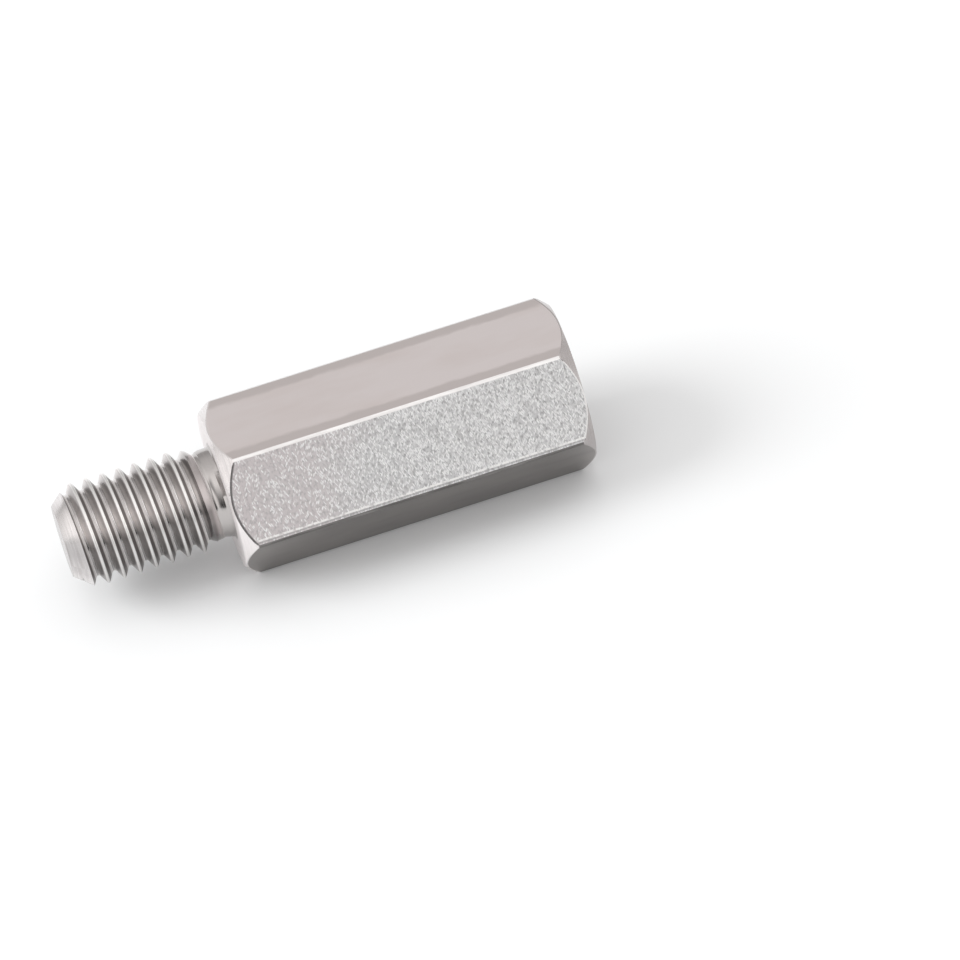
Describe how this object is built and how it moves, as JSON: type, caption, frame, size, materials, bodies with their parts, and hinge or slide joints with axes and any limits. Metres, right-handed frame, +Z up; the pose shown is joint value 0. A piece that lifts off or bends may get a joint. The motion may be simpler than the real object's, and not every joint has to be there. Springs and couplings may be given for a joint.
{
  "type": "hex standoff",
  "caption": "Male-female hexagonal standoff with a threaded stud on a turned neck at one end and a countersunk tapped blind hole in the other.",
  "frame": {"origin": "centre of the part in plan, on the lower flat that it lies on", "axes": "+X along the long axis, from the stud to the tapped hole; +Z up, square to the flat it lies on; +Y across the hexagon's corners"},
  "size_m": [0.04, 0.0138, 0.012],
  "materials": {
    "stainless_steel": "bright drawn and turned stainless steel, plain"
  },
  "bodies": {
    "root": {"hex_standoff": "stainless_steel"}
  },
  "joints": []
}
